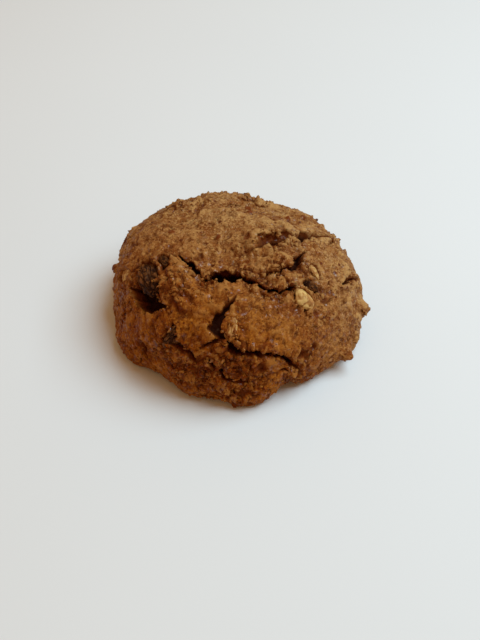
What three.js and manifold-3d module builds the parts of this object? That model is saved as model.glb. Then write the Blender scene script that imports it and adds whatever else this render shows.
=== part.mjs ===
// Drop cookie: one thick mound of baked wholemeal dough, cracked on its crown and front,
// with raisins and walnut pieces baked into its skin.
// Millimetres, +Z up. The cookie rests on z = 0 and its front, where the big cracks are, faces -Y.
//
// A place on the skin is given by two numbers:
//   azimuth  degrees around +Z, counted from +X towards +Y
//   down     0 at the crown, 1 at the foot where the skin meets the table
import * as THREE from 'three';
import { ImprovedNoise } from 'three/addons/math/ImprovedNoise.js';
import { mergeVertices } from 'three/addons/utils/BufferGeometryUtils.js';
import Module from 'manifold-3d';

const wasm = await Module();
wasm.setup();
const noise = new ImprovedNoise();
const UP = new THREE.Vector3(0, 0, 1);

// ---- Driving dimensions ----

const HEIGHT = 32;
const BELLY_RADIUS = 37.5;
// Radius of the belly as a share of BELLY_RADIUS, every 30 degrees of azimuth from +X
const BELLY_PLAN = [1.03, 0.97, 0.95, 0.98, 1.01, 1.06, 0.99, 0.97, 0.98, 0.99, 0.98, 1.01];
// How far the foot stands in from the belly, every 30 degrees of azimuth from +X
const FOOT_INSET = [5, 4, 3, 3, 3, 2, -2, -1, 0.5, 0, 3, 2];
const INSET_REACH = 0.42 * HEIGHT; // height over which the wall leans in to the foot
const FOOT_ROUNDING = { width: 1.8, height: 4.5 }; // the rounded edge where the wall meets the underside
const CROWN_SHIFT = new THREE.Vector2(-2.4, -2.6); // the crown sits a little left and forward
const PLAN_POWER = 0.71; // how fast the dome widens below the crown
const PROFILE_POWER = 0.8; // how square the shoulder is

// Swells (height above 0) and hollows (below 0) of the dome
const SWELLS = [
  { name: 'crown edge', azimuth: 350, down: 0.08, radius: 8, height: 1.0 },
  { name: 'valley left', azimuth: 235, down: 0.16, radius: 6.5, height: -1.4 },
  { name: 'valley middle', azimuth: 262, down: 0.15, radius: 7.5, height: -1.8 },
  { name: 'valley right', azimuth: 294, down: 0.2, radius: 6.5, height: -1.4 },
  { name: 'front lip', azimuth: 258, down: 0.27, radius: 6, height: 1.1 },
  { name: 'front lip left', azimuth: 225, down: 0.29, radius: 6, height: 0.9 },
  { name: 'right plate', azimuth: 290, down: 0.5, radius: 12, height: 1.1 },
  { name: 'left plate', azimuth: 240, down: 0.5, radius: 9, height: 0.5 },
  { name: 'left shoulder', azimuth: 180, down: 0.32, radius: 10, height: 1.0 },
  { name: 'front foot lobe', azimuth: 280, down: 0.94, radius: 8, height: 1.3 },
  { name: 'left foot lobe', azimuth: 198, down: 0.95, radius: 6, height: 0.8 },
  { name: 'right foot crumbs', azimuth: 325, down: 0.92, radius: 4, height: 1.2 },
  { name: 'right shoulder', azimuth: 20, down: 0.62, radius: 9, height: 1.0 },
  { name: 'right edge spur', azimuth: 352, down: 0.8, radius: 3, height: 1.6 },
  { name: 'right hollow', azimuth: 338, down: 0.37, radius: 4.5, height: -1.4 },
  { name: 'back swell', azimuth: 100, down: 0.5, radius: 11, height: 0.9 },
  { name: 'back dip', azimuth: 62, down: 0.7, radius: 8, height: -0.9 },
  { name: 'back foot lobe', azimuth: 130, down: 0.9, radius: 8, height: 0.8 },
];
// Roughness of the baked skin: size of the lumps and how far they stand up or down
const COARSE_LUMP = { size: 9, height: 0.75 };
const FINE_LUMP = { size: 4.5, height: 0.45 };

// Cracks: places along the line, width at the skin, depth, and how far the lower edge leans to the back
const CRACKS = [
  {
    name: 'crown crack',
    line: [
      [211, 0.21], [222, 0.2], [240, 0.21], [256, 0.19],
      [274, 0.195], [290, 0.22], [300, 0.32], [312, 0.355],
    ],
    width: 2.8, depth: 6.5, lean: 2.5,
  },
  {
    name: 'crown branch',
    line: [[318, 0.225], [330, 0.26], [346, 0.27]],
    width: 1.4, depth: 3.5, lean: 0.5,
  },
  {
    name: 'front cleft',
    line: [[270, 0.31], [265, 0.4], [262, 0.49], [266, 0.56], [271, 0.625]],
    width: 2.8, depth: 5.5, lean: 0,
  },
  {
    name: 'front crack',
    line: [[271, 0.625], [281, 0.67], [294, 0.745], [298, 0.87]],
    width: 1.8, depth: 4.5, lean: 0,
  },
  {
    name: 'left crack',
    line: [[239, 0.66], [245, 0.68], [251, 0.73]],
    width: 1.4, depth: 3, lean: 0,
  },
];
const BLADE_RISE = 3; // how far a cutting blade stands above the skin
const KEEL_WIDTH = 0.5; // width of a crack at its bottom
const END_SHARE = 0.3; // a crack's width and depth at its ends, as a share of its middle
const END_POWER = 0.7; // how soon a crack widens away from its ends
const BLADE_SECTIONS = 4; // cross-sections of a blade for each step between the places of its line

// Open hollows: round voids in the skin that nothing fills
const HOLLOWS = [
  { name: 'gap under left raisin', azimuth: 217, down: 0.52, radius: 3.6, sink: 0.8 },
  { name: 'right pit', azimuth: 9, down: 0.28, radius: 2.4, sink: 0.4 },
];

// Raisins and walnut pieces: size along, across and through, twist about the skin's normal,
// and how deep the piece's middle lies below the skin
const RAISINS = [
  { name: 'raisin_left', azimuth: 202, down: 0.43, size: [11.5, 8.5, 7], twist: 0, sink: 2.2 },
  { name: 'raisin_upper_left', azimuth: 199.5, down: 0.295, size: [5.5, 2.8, 3.2], twist: 5, sink: 1.1 },
  { name: 'raisin_lower_left', azimuth: 237, down: 0.645, size: [10, 4.5, 5], twist: 70, sink: 1.9 },
  { name: 'raisin_right', azimuth: 327, down: 0.4, size: [5, 2.8, 3], twist: 100, sink: 0.9 },
  { name: 'raisin_back', azimuth: 100, down: 0.62, size: [10, 7, 6], twist: 20, sink: 1.9 },
];
const WALNUTS = [
  { name: 'walnut_right', azimuth: 316.5, down: 0.425, size: [6.6, 5.6, 4.6], twist: 75, sink: 1.3 },
  { name: 'walnut_in_cleft', azimuth: 268.5, down: 0.49, size: [6, 3.8, 5], twist: 90, sink: 1.7 },
  { name: 'walnut_sliver', azimuth: 340.5, down: 0.37, size: [6.2, 2.4, 2.8], twist: 48, sink: 1.0 },
  { name: 'walnut_left', azimuth: 186, down: 0.62, size: [6.5, 5, 4.5], twist: 80, sink: 1.5 },
  { name: 'walnut_back', azimuth: 55, down: 0.55, size: [8, 6, 5], twist: 130, sink: 1.6 },
];
const PIECES = [
  ...RAISINS.map((piece) => ({ ...piece, kind: 'raisin' })),
  ...WALNUTS.map((piece) => ({ ...piece, kind: 'walnut' })),
];
const PIECE_GAP = 0.35; // air between a piece and its pocket in the crumb
const PIECE_LUMP = 0.1; // unevenness of a piece, as a share of its size

const SKIN_CELLS = 36; // cells along each side of the square that is wrapped over the dome
const RING_POWER = 1.3; // how the rings of the net crowd towards the crown
const LEAST_HEIGHT = 0.4; // the skin above the foot never comes lower than this

const MATERIALS = {
  crumb: { color: 0x8a5a2c, roughness: 0.92, metalness: 0 },
  raisin: { color: 0x3a1c17, roughness: 0.5, metalness: 0 },
  walnut: { color: 0xa9793e, roughness: 0.7, metalness: 0 },
};

// ---- The skin ----

// Smooth closed curve through values spaced evenly around the circle
function around(values, azimuth) {
  const count = values.length;
  const place = THREE.MathUtils.euclideanModulo(azimuth, 360) / 360 * count;
  const index = Math.floor(place);
  const t = place - index;
  const at = (k) => values[(index + k + count) % count];
  const [a, b, c, d] = [at(-1), at(0), at(1), at(2)];
  return 0.5 * (2 * b + (c - a) * t + (2 * a - 5 * b + 4 * c - d) * t * t + (3 * b - a - 3 * c + d) * t ** 3);
}

// Smooth dome without its swells
function domePoint(azimuth, down) {
  const fall = Math.min(down, 1) * Math.PI / 2;
  const z = HEIGHT * Math.max(Math.cos(fall), 0) ** PROFILE_POWER;
  const leanIn = around(FOOT_INSET, azimuth) * Math.max(1 - z / INSET_REACH, 0) ** 2;
  const roundIn = FOOT_ROUNDING.width * Math.max(1 - z / FOOT_ROUNDING.height, 0) ** 2;
  const belly = BELLY_RADIUS * around(BELLY_PLAN, azimuth) * Math.sin(fall) ** PLAN_POWER;
  const radius = belly - leanIn - roundIn;
  const lift = Math.sin(Math.PI / 2 * z / HEIGHT);
  const angle = THREE.MathUtils.degToRad(azimuth);
  const x = radius * Math.cos(angle) + CROWN_SHIFT.x * lift;
  const y = radius * Math.sin(angle) + CROWN_SHIFT.y * lift;
  return new THREE.Vector3(x, y, z);
}

// Outward direction of the smooth dome
function domeNormal(azimuth, down) {
  const level = THREE.MathUtils.clamp(down, 0.02, 0.98);
  const downward = domePoint(azimuth, level + 0.01).sub(domePoint(azimuth, level - 0.01));
  const sideways = domePoint(azimuth + 1, level).sub(domePoint(azimuth - 1, level));
  const normal = downward.cross(sideways).normalize();
  return down < 0.02 ? UP.clone() : normal;
}

function swellHeight(point) {
  let height = 0;
  for (const swell of SWELLS) {
    const distance = point.distanceTo(domePoint(swell.azimuth, swell.down));
    height += swell.height * Math.exp(-((distance / swell.radius) ** 2));
  }
  return height;
}

function lumpHeight(point) {
  let height = 0;
  for (const lump of [COARSE_LUMP, FINE_LUMP]) {
    const p = point.clone().divideScalar(lump.size);
    height += lump.height * noise.noise(p.x, p.y, p.z + 5);
  }
  return height;
}

// The baked skin: the dome with its swells and lumps
function skinPoint(azimuth, down) {
  const point = domePoint(azimuth, down);
  const height = swellHeight(point) + lumpHeight(point);
  point.addScaledVector(domeNormal(azimuth, down), height);
  point.z = down >= 1 ? 0 : Math.max(point.z, LEAST_HEIGHT);
  return point;
}

// ---- Meshes ----

function geometryFrom(positions, triangles) {
  const geometry = new THREE.BufferGeometry();
  geometry.setAttribute('position', new THREE.Float32BufferAttribute(positions, 3));
  geometry.setIndex(triangles);
  return geometry;
}

function solidFrom(geometry) {
  return new wasm.Manifold(new wasm.Mesh({
    numProp: 3,
    vertProperties: new Float32Array(geometry.attributes.position.array),
    triVerts: new Uint32Array(geometry.index.array),
  }));
}

function geometryOf(solid) {
  const mesh = solid.getMesh();
  return geometryFrom(Array.from(mesh.vertProperties), Array.from(mesh.triVerts));
}

// The whole mound: a square net of cells wrapped over the dome, closed below by a flat base
function moundGeometry() {
  const side = SKIN_CELLS + 1;
  const positions = [];
  const triangles = [];
  const rim = [];
  for (let j = 0; j < side; j++) {
    for (let i = 0; i < side; i++) {
      const u = 2 * i / SKIN_CELLS - 1;
      const v = 2 * j / SKIN_CELLS - 1;
      const ring = Math.max(Math.abs(u), Math.abs(v));
      positions.push(...skinPoint(ringAzimuth(u, v), ring ** RING_POWER));
    }
  }
  for (let j = 0; j < SKIN_CELLS; j++) {
    for (let i = 0; i < SKIN_CELLS; i++) {
      const a = j * side + i;
      const [b, c, d] = [a + 1, a + 1 + side, a + side];
      const half = SKIN_CELLS / 2;
      const outwardDiagonal = (i < half) === (j < half);
      triangles.push(...(outwardDiagonal ? [a, b, c, a, c, d] : [a, b, d, b, c, d]));
    }
  }
  for (let k = 0; k < SKIN_CELLS; k++) rim.push(k);
  for (let k = 0; k < SKIN_CELLS; k++) rim.push(k * side + SKIN_CELLS);
  for (let k = SKIN_CELLS; k > 0; k--) rim.push(SKIN_CELLS * side + k);
  for (let k = SKIN_CELLS; k > 0; k--) rim.push(k * side);
  const baseCentre = positions.length / 3;
  positions.push(0, 0, 0);
  rim.forEach((vertex, k) => triangles.push(vertex, baseCentre, rim[(k + 1) % rim.length]));
  return geometryFrom(positions, triangles);
}

// Azimuth of a place in the square net, so that each square ring becomes a round one
function ringAzimuth(u, v) {
  if (u === 0 && v === 0) return 0;
  if (Math.abs(u) >= Math.abs(v)) return 45 * v / u + (u > 0 ? 0 : 180);
  return 90 - 45 * u / v + (v > 0 ? 0 : 180);
}

// The blade that cuts a crack: a wedge carried along the crack's line, thin at both ends
function bladeGeometry(crack) {
  const places = crack.line.map(([azimuth, down]) => new THREE.Vector3(azimuth, down, 0));
  const line = new THREE.CatmullRomCurve3(places);
  const sections = BLADE_SECTIONS * (crack.line.length - 1);
  const positions = [];
  const triangles = [];
  for (let i = 0; i <= sections; i++) {
    const t = i / sections;
    const place = line.getPoint(t);
    const centre = skinPoint(place.x, place.y);
    const out = domeNormal(place.x, place.y);
    const before = line.getPoint(Math.max(t - 0.02, 0));
    const after = line.getPoint(Math.min(t + 0.02, 1));
    const along = skinPoint(after.x, after.y).sub(skinPoint(before.x, before.y)).normalize();
    const across = along.clone().cross(out).normalize();
    const share = END_SHARE + (1 - END_SHARE) * Math.sin(Math.PI * t) ** END_POWER;
    const lip = across.clone().multiplyScalar(crack.width * share * 0.5);
    const keel = across.clone().multiplyScalar(KEEL_WIDTH * 0.5);
    const above = centre.clone().addScaledVector(out, BLADE_RISE);
    const below = centre.clone().addScaledVector(out, -crack.depth * share);
    below.y += crack.lean * share;
    positions.push(...above.clone().sub(lip), ...above.clone().add(lip));
    positions.push(...below.clone().add(keel), ...below.clone().sub(keel));
  }
  for (let i = 0; i < sections; i++) {
    for (let k = 0; k < 4; k++) {
      const [a, b] = [4 * i + k, 4 * i + (k + 1) % 4];
      triangles.push(a, b, b + 4, a, b + 4, a + 4);
    }
  }
  const last = 4 * sections;
  triangles.push(0, 2, 1, 0, 3, 2, last, last + 1, last + 2, last, last + 2, last + 3);
  return geometryFrom(positions, triangles);
}

// A lumpy ball with the given diameters, detail 2 being 180 triangles
function lumpyBall(size, grow, seed) {
  const ball = new THREE.IcosahedronGeometry(1, 2);
  ball.deleteAttribute('normal');
  ball.deleteAttribute('uv');
  const geometry = mergeVertices(ball);
  const position = geometry.attributes.position;
  const p = new THREE.Vector3();
  for (let i = 0; i < position.count; i++) {
    p.fromBufferAttribute(position, i);
    const share = 1 + PIECE_LUMP * noise.noise(1.7 * p.x + seed, 1.7 * p.y, 1.7 * p.z);
    position.setXYZ(i, ...size.map((d, axis) => p.getComponent(axis) * (share * d / 2 + grow)));
  }
  return geometry;
}

// Puts a shape on the skin: its Z along the skin's normal, its X turned by twist from level
function placeOnSkin(geometry, { azimuth, down, twist = 0, sink }) {
  const out = domeNormal(azimuth, down);
  const level = UP.clone().cross(out).normalize();
  const upward = out.clone().cross(level);
  const turn = new THREE.Matrix4().makeBasis(level, upward, out);
  turn.multiply(new THREE.Matrix4().makeRotationZ(THREE.MathUtils.degToRad(twist)));
  turn.setPosition(skinPoint(azimuth, down).addScaledVector(out, -sink));
  return geometry.applyMatrix4(turn);
}

// ---- Pieces ----

function crumbGeometry() {
  let crumb = solidFrom(moundGeometry());
  for (const crack of CRACKS) {
    crumb = crumb.subtract(solidFrom(bladeGeometry(crack)));
  }
  for (const hollow of HOLLOWS) {
    const ball = lumpyBall(Array(3).fill(2 * hollow.radius), 0, 3);
    crumb = crumb.subtract(solidFrom(placeOnSkin(ball, hollow)));
  }
  PIECES.forEach((piece, index) => {
    const pocket = lumpyBall(piece.size, PIECE_GAP, index);
    crumb = crumb.subtract(solidFrom(placeOnSkin(pocket, piece)));
  });
  const bodies = crumb.decompose().sort((a, b) => b.volume() - a.volume());
  return geometryOf(bodies[0]);
}

function addMesh(group, name, geometry, material) {
  const mesh = new THREE.Mesh(geometry, new THREE.MeshStandardMaterial(MATERIALS[material]));
  mesh.name = name;
  group.add(mesh);
  return mesh;
}

const cookie = new THREE.Group();
const crumb = addMesh(cookie, 'cookie_crumb', crumbGeometry(), 'crumb');
PIECES.forEach((piece, index) => {
  addMesh(cookie, piece.name, placeOnSkin(lumpyBall(piece.size, 0, index), piece), piece.kind);
});

// The origin is on the table, under the middle of the cookie
const middle = new THREE.Box3().setFromObject(crumb).getCenter(new THREE.Vector3());
cookie.position.set(-middle.x, -middle.y, 0);

export default cookie;
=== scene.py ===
"""A thick drop cookie: domed, cracked, with raisins and walnut pieces baked into its skin.

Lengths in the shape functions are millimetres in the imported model's own frame, +Z up, and turn
into metres when a mesh is made. A place on the skin is (azimuth, down): azimuth in degrees
around +Z from +X towards +Y, and down from 0 at the crown to 1 at the foot.
"""

from itertools import product

import bpy
import numpy as np
from bpy.props import FloatProperty, FloatVectorProperty, PointerProperty
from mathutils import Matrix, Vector


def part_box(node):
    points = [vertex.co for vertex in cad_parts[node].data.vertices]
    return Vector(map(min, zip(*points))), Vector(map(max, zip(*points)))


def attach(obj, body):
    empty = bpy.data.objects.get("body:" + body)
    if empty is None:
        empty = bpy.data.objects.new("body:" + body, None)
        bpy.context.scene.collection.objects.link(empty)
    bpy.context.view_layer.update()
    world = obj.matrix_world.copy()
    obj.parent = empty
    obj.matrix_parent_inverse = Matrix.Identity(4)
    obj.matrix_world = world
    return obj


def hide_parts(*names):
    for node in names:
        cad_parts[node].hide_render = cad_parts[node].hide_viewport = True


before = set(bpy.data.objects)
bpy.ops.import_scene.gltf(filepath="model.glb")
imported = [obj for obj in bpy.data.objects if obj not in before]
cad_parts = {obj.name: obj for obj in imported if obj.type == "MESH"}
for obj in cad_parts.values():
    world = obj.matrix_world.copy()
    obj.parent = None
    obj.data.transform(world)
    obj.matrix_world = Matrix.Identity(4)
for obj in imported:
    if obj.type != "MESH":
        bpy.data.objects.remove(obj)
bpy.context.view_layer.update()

bl_info = {
    "name": "Raisin and walnut cookie",
    "version": (1, 0, 0),
    "blender": (4, 5, 0),
    "location": "View3D > Sidebar > Cookie",
    "description": "Builds a cracked drop cookie and its table around the packed model",
    "category": "Add Mesh",
}

MM = 0.001
CRUMB_NODE = "cookie_crumb"

# ---- The dome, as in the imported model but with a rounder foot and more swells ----

HEIGHT = 32.0
BELLY_RADIUS = 37.5
# Radius of the belly as a share of BELLY_RADIUS, every 30 degrees of azimuth
BELLY_PLAN = (1.03, 0.97, 0.95, 0.98, 1.01, 1.06, 0.99, 0.97, 0.98, 0.99, 0.98, 1.01)
# How far the foot stands in from the belly, every 30 degrees of azimuth
FOOT_INSET = (5, 4, 3, 3, 3, 2, -2, -1, 0.5, 0, 3, 2)
INSET_REACH = 0.42 * HEIGHT
FOOT_ROUNDING_WIDTH = 2.6
FOOT_ROUNDING_HEIGHT = 4.0
CROWN_SHIFT = (-2.4, -2.6)
PLAN_POWER = 0.71
PROFILE_POWER = 0.8

# Swells (height above 0) and hollows (below 0): azimuth, down, radius, height
SWELLS = (
    (350, 0.08, 8, 1.0),  # crown edge
    (235, 0.16, 6.5, -1.4),  # valley behind the crown crack
    (262, 0.15, 7.5, -1.8),
    (294, 0.20, 6.5, -1.4),
    (258, 0.27, 6, 1.1),  # lip in front of it
    (225, 0.29, 6, 0.9),
    (290, 0.50, 12, 1.1),  # right plate
    (240, 0.50, 9, 0.5),  # left plate
    (180, 0.32, 10, 1.0),  # left shoulder
    (277, 0.97, 7, 2.7),  # front foot lobe
    (247, 0.97, 6, 1.6),  # the foot to its left
    (289, 0.99, 4, -2.2),  # notch to its right
    (306, 0.98, 6, 0.9),
    (334, 0.97, 6, 1.1),
    (210, 0.97, 7, 2.3),  # left foot lobe
    (324, 0.92, 2.0, 3.0),  # right foot crumbs
    (316, 0.97, 2.5, 0.8),
    (20, 0.62, 9, 1.0),  # right shoulder
    (348, 0.845, 2.1, 2.7),  # right edge spur
    (338, 0.37, 4.5, -1.4),  # right hollow
    (100, 0.50, 11, 0.9),  # back swell
    (62, 0.70, 8, -0.9),  # back dip
    (130, 0.90, 8, 0.8),  # back foot lobe
)

# Cracks: (azimuth, down, half width) along each, then depth, lean to the back, lip height
CRACKS = {
    "crown_crack": {
        "line": (
            (202, 0.226, 0.2), (206, 0.21, 0.7), (213, 0.195, 0.8), (222, 0.187, 0.4), (231, 0.19, 0.45),
            (240, 0.213, 0.7), (246, 0.205, 0.9), (252, 0.185, 1.7), (260, 0.178, 2.5),
            (269, 0.178, 2.3), (276, 0.182, 1.2), (283, 0.178, 0.6), (289, 0.205, 0.5), (294, 0.26, 0.45),
            (299, 0.31, 0.4), (306, 0.345, 0.7), (314, 0.36, 0.5), (318, 0.35, 0.1),
        ),
        "depth": 6.0, "lean": 4.0, "lip": 0.5,
    },
    "crown_branch": {
        "line": (
            (308, 0.215, 0.3), (313, 0.220, 0.9), (320, 0.235, 1.1), (328, 0.262, 1.1), (335, 0.262, 0.9),
            (342, 0.262, 0.9), (350, 0.278, 0.3),
        ),
        "depth": 3.6, "lean": 1.0, "lip": 0.5,
    },
    "front_cleft": {
        "line": (
            (274, 0.29, 0.1), (271, 0.33, 0.4), (267, 0.37, 0.7), (264, 0.42, 1.2),
            (262, 0.47, 1.7), (262.5, 0.52, 1.6), (265.5, 0.555, 1.2), (269, 0.60, 0.7),
            (273, 0.635, 0.6),
        ),
        "depth": 3.2, "lean": 0.0, "lip": 0.5,
    },
    "front_crack": {
        "line": (
            (268, 0.595, 0.5), (272, 0.635, 1.0), (277, 0.65, 0.8), (283, 0.67, 0.9),
            (289, 0.695, 0.9), (294, 0.735, 1.0), (295.5, 0.79, 0.6), (299, 0.87, 0.25),
        ),
        "depth": 3.4, "lean": 0.3, "lip": 0.4,
    },
    "brow_crack": {
        "line": (
            (318, 0.07, 0.3), (334, 0.08, 1.2), (346, 0.095, 1.7), (354, 0.125, 1.7),
            (361, 0.165, 1.1), (365, 0.205, 0.3),
        ),
        "depth": 1.9, "lean": 0.8, "lip": 0.8,
    },
    "left_crack": {
        "line": (
            (238, 0.64, 0.3), (241, 0.665, 0.6), (245, 0.675, 0.6), (248, 0.69, 0.6),
            (250.5, 0.72, 1.1), (252, 0.745, 0.3),
        ),
        "depth": 2.4, "lean": 0.3, "lip": 0.3,
    },
    "left_hairline": {
        "line": ((196, 0.62, 0.3), (199, 0.66, 0.7), (204, 0.71, 0.75), (206, 0.76, 0.3)),
        "depth": 2.8, "lean": 0.0, "lip": 0.3,
    },
    "low_front_crack": {
        "line": ((259, 0.72, 0.3), (262, 0.77, 0.7), (266, 0.83, 0.7), (272, 0.85, 0.5), (277, 0.85, 0.2)),
        "depth": 2.8, "lean": 0.0, "lip": 0.3,
    },
    "low_left_hairline": {
        "line": ((222, 0.80, 0.3), (224, 0.83, 0.9), (225, 0.87, 0.8), (227, 0.91, 0.2)),
        "depth": 2.8, "lean": 0.0, "lip": 0.3,
    },
    "short_front_crack": {
        "line": ((255, 0.64, 0.3), (259, 0.61, 0.6), (263, 0.59, 0.3)),
        "depth": 2.4, "lean": 0.0, "lip": 0.2,
    },
    "right_ledge": {
        "line": (
            (4, 0.262, 0.5), (9, 0.29, 1.7), (11, 0.325, 1.2), (12, 0.38, 0.6), (15, 0.48, 0.4),
            (17, 0.60, 0.1),
        ),
        "depth": 2.8, "lean": 0.0, "lip": 0.4,
    },
    "right_edge_crack": {
        "line": ((344, 0.575, 0.3), (349, 0.61, 0.8), (353, 0.645, 1.1), (357, 0.69, 0.7), (360, 0.75, 0.2)),
        "depth": 2.2, "lean": 0.0, "lip": 0.7,
    },
    "raisin_gap": {
        "line": ((200, 0.575, 0.3), (206, 0.555, 2.6), (214, 0.535, 3.3), (221, 0.51, 2.1), (228, 0.48, 0.4)),
        "depth": 6.5, "lean": 0.0, "lip": 0.2,
    },
    "back_crack": {
        "line": (
            (62, 0.30, 0.1), (74, 0.33, 0.5), (84, 0.40, 0.6), (88, 0.50, 0.5), (98, 0.56, 0.4),
            (106, 0.66, 0.1),
        ),
        "depth": 3.0, "lean": 0.0, "lip": 0.4,
    },
    "back_side_crack": {
        "line": ((128, 0.62, 0.1), (138, 0.60, 0.4), (148, 0.66, 0.5), (158, 0.68, 0.1)),
        "depth": 2.0, "lean": 0.0, "lip": 0.3,
    },
    "right_side_crack": {
        "line": ((18, 0.72, 0.1), (28, 0.68, 0.35), (38, 0.73, 0.4), (46, 0.72, 0.1)),
        "depth": 1.8, "lean": 0.0, "lip": 0.3,
    },
}

# Round pits (depth above 0) and raised flakes of bran (below 0): azimuth, down, radius, depth
PITS = (
    (8, 0.27, 2.1, 3.4), (354, 0.03, 0.9, 1.0), (355, 0.66, 2.2, 2.6), (318, 0.575, 1.2, 1.0),
    (158, 0.446, 1.2, 0.7), (66, 0.156, 1.0, -0.7), (36, 0.296, 0.9, -0.8), (73, 0.205, 1.1, -0.6),
    (169, 0.214, 1.2, -0.7), (126, 0.189, 1.0, -0.7), (36, 0.428, 1.0, -0.9), (120, 0.40, 1.1, 0.8),
    (282, 0.761, 1.8, 1.3), (302, 0.77, 1.5, 1.3), (309, 0.755, 1.0, 1.2), (170, 0.025, 0.8, -0.7),
    (172, 0.74, 1.4, -1.3), (296, 0.10, 0.8, 0.5),
)

# Raisins and walnut pieces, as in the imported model: azimuth, down, size along, across and
# through, and twist about the skin's normal
PIECES = {
    "raisin_left": (202, 0.43, (11.5, 8.5, 7), 0),
    "raisin_upper_left": (199.5, 0.295, (5.5, 2.8, 3.2), 5),
    "raisin_lower_left": (237, 0.645, (10, 4.5, 5), 70),
    "raisin_right": (327, 0.4, (5, 2.8, 3), 100),
    "raisin_back": (100, 0.62, (10, 7, 6), 20),
    "walnut_right": (316.5, 0.425, (6.6, 5.6, 4.6), 75),
    "walnut_in_cleft": (268.5, 0.49, (6, 3.8, 5), 90),
    "walnut_sliver": (340.5, 0.37, (6.2, 2.4, 2.8), 48),
    "walnut_left": (186, 0.62, (6.5, 5, 4.5), 80),
    "walnut_back": (55, 0.55, (8, 6, 5), 130),
}

# How the dough meets each piece: share of its oval that lies open, raggedness of the opening,
# and thickness of the film over the rest (0 for none)
POCKETS = {
    "raisin_left": (0.95, 0.6, 0.3),
    "raisin_upper_left": (1.05, 0.5, 0.3),
    "raisin_lower_left": (0.78, 0.8, 0.25),
    "raisin_right": (0.85, 0.5, 0.2),
    "raisin_back": (0.9, 0.6, 0.3),
    "walnut_right": (0.85, 0.5, 0.2),
    "walnut_in_cleft": (0.3, 0.3, 0.0),
    "walnut_sliver": (0.8, 0.5, 0.2),
    "walnut_left": (0.75, 0.6, 0.25),
    "walnut_back": (0.85, 0.6, 0.25),
}

# Scarps, where one plate of crust stands over the next: (azimuth, down, strength) along the
# line with the higher side on its left, then height and how far back the higher side falls off
SCARPS = {
    "brow": (
        ((300, 0.05, 0.5), (330, 0.07, 1.0), (347, 0.09, 1.0), (357, 0.13, 1.0), (364, 0.18, 1.0),
         (367, 0.23, 0.5)),
        1.5, 4.0,
    ),
    "right_shelf": (((14, 0.33, 0.6), (14, 0.42, 1.0), (16, 0.56, 0.5)), 0.9, 3.0),
    "left_fold": (((207, 0.27, 0.4), (217, 0.31, 1.0), (228, 0.345, 1.0), (242, 0.365, 0.6)), 1.1, 3.0),
    "left_low_fold": (((222, 0.40, 0.4), (236, 0.43, 1.0), (250, 0.42, 0.6)), 0.8, 3.0),
    "front_shelf": (((262, 0.62, 0.5), (275, 0.635, 1.0), (292, 0.69, 1.0), (300, 0.76, 0.4)), 0.8, 3.5),
    "back_shelf": (((110, 0.30, 0.5), (122, 0.36, 1.0), (140, 0.36, 1.0), (155, 0.30, 0.4)), 1.0, 3.5),
    "side_shelf": (((20, 0.50, 0.5), (32, 0.56, 1.0), (48, 0.52, 0.5)), 0.9, 3.0),
}

# Where the crust is torn and rough: azimuth, down, radius, strength
TORN_PATCHES = (
    (235, 0.16, 6, 0.2), (262, 0.15, 8, 0.2), (294, 0.21, 6, 0.25),  # behind the crown crack
    (302, 0.30, 5, 0.4), (325, 0.17, 6, 0.2),
    (352, 0.12, 5, 0.9), (212, 0.48, 6, 0.5), (332, 0.33, 5, 0.5),
    (228, 0.38, 6, 0.4), (300, 0.88, 7, 0.6), (270, 0.88, 9, 0.8), (245, 0.82, 8, 0.6),  # low on the front
    (272, 0.68, 6, 0.7), (120, 0.35, 8, 0.6), (80, 0.48, 7, 0.6), (150, 0.80, 8, 0.5), (35, 0.75, 7, 0.5),
)

SKIN_CELLS = 288
BASE_CELLS = SKIN_CELLS // 3
BASE_SHARE = 0.97  # size of the underside's net as a share of the skin's rim
RIM = 1 - 1e-9  # rings from here on are the rim
RING_PROFILE = 255.0  # azimuth of the profile along which the net's rings are evenly spaced
BOX_CELLS = 60  # cells of the net that finds the dome's own box
GRAIN_COUNT = 1500  # small lumps standing on the skin
GRAIN_NET = (4, 6)  # rows and columns of a grain's net
BAKED_IN_NET = (72, 110)  # rows and columns of a raisin's or walnut piece's net

# First random seed of each kind of feature; cracks start at 0
SCARP_SEEDS = 80
PIT_SEEDS = 40
POCKET_SEEDS = 60

CRACK_REACH = 9.0  # how far from its line a crack changes the skin at most
AIM_FORWARD = 3.7  # how far in front of the dome's own origin the camera and the light aim
FLOOR_REACH = 3000.0  # half the side of the floor

# Where the maps of the skin and the underside lie in the square map
SKIN_UV_LOW = 0.2
BASE_UV_LOW = 0.01
BASE_UV_SIDE = 0.17

# Painted shade on the front left, the side away from the window: direction of that side, and how far along
# it, in millimetres, the painted shade starts and is complete
SHADED_SIDE = (-0.38, -0.92, -0.10)
SHADE_REACH = (-14.0, 32.0)

# ---- Noise, worked out for whole arrays of points ----

def cell_hash(cell, seed):
    """Mixes the three whole numbers of each lattice cell into one number from 0 to 1023."""
    x, y, z = (cell[..., k].astype(np.int64) for k in range(3))
    mixed = x * 73856093 ^ y * 19349663 ^ z * 83492791 ^ (seed + 1) * 2654435761
    mixed ^= mixed >> 13
    mixed *= 1274126177
    return (mixed ^ mixed >> 16) & 1023


TABLE = np.random.default_rng(7).normal(size=(1024, 3))
SLOPES = TABLE / np.linalg.norm(TABLE, axis=1, keepdims=True)
SCATTER = np.random.default_rng(8).random((1024, 4))


def soft(points, size, seed=0):
    """Gradient noise: a random slope at each corner of a lattice of that size, blended smoothly."""
    q = points / size + 31.7 * (seed + 1)
    cell = np.floor(q)
    f = q - cell
    fade = f ** 3 * (f * (f * 6 - 15) + 10)
    total = np.zeros(len(q))
    for corner in product((0, 1), repeat=3):
        slope = SLOPES[cell_hash(cell + corner, seed)]
        weight = np.prod(np.where(corner, fade, 1 - fade), axis=1)
        total += weight * ((f - corner) * slope).sum(1)
    return total


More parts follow.
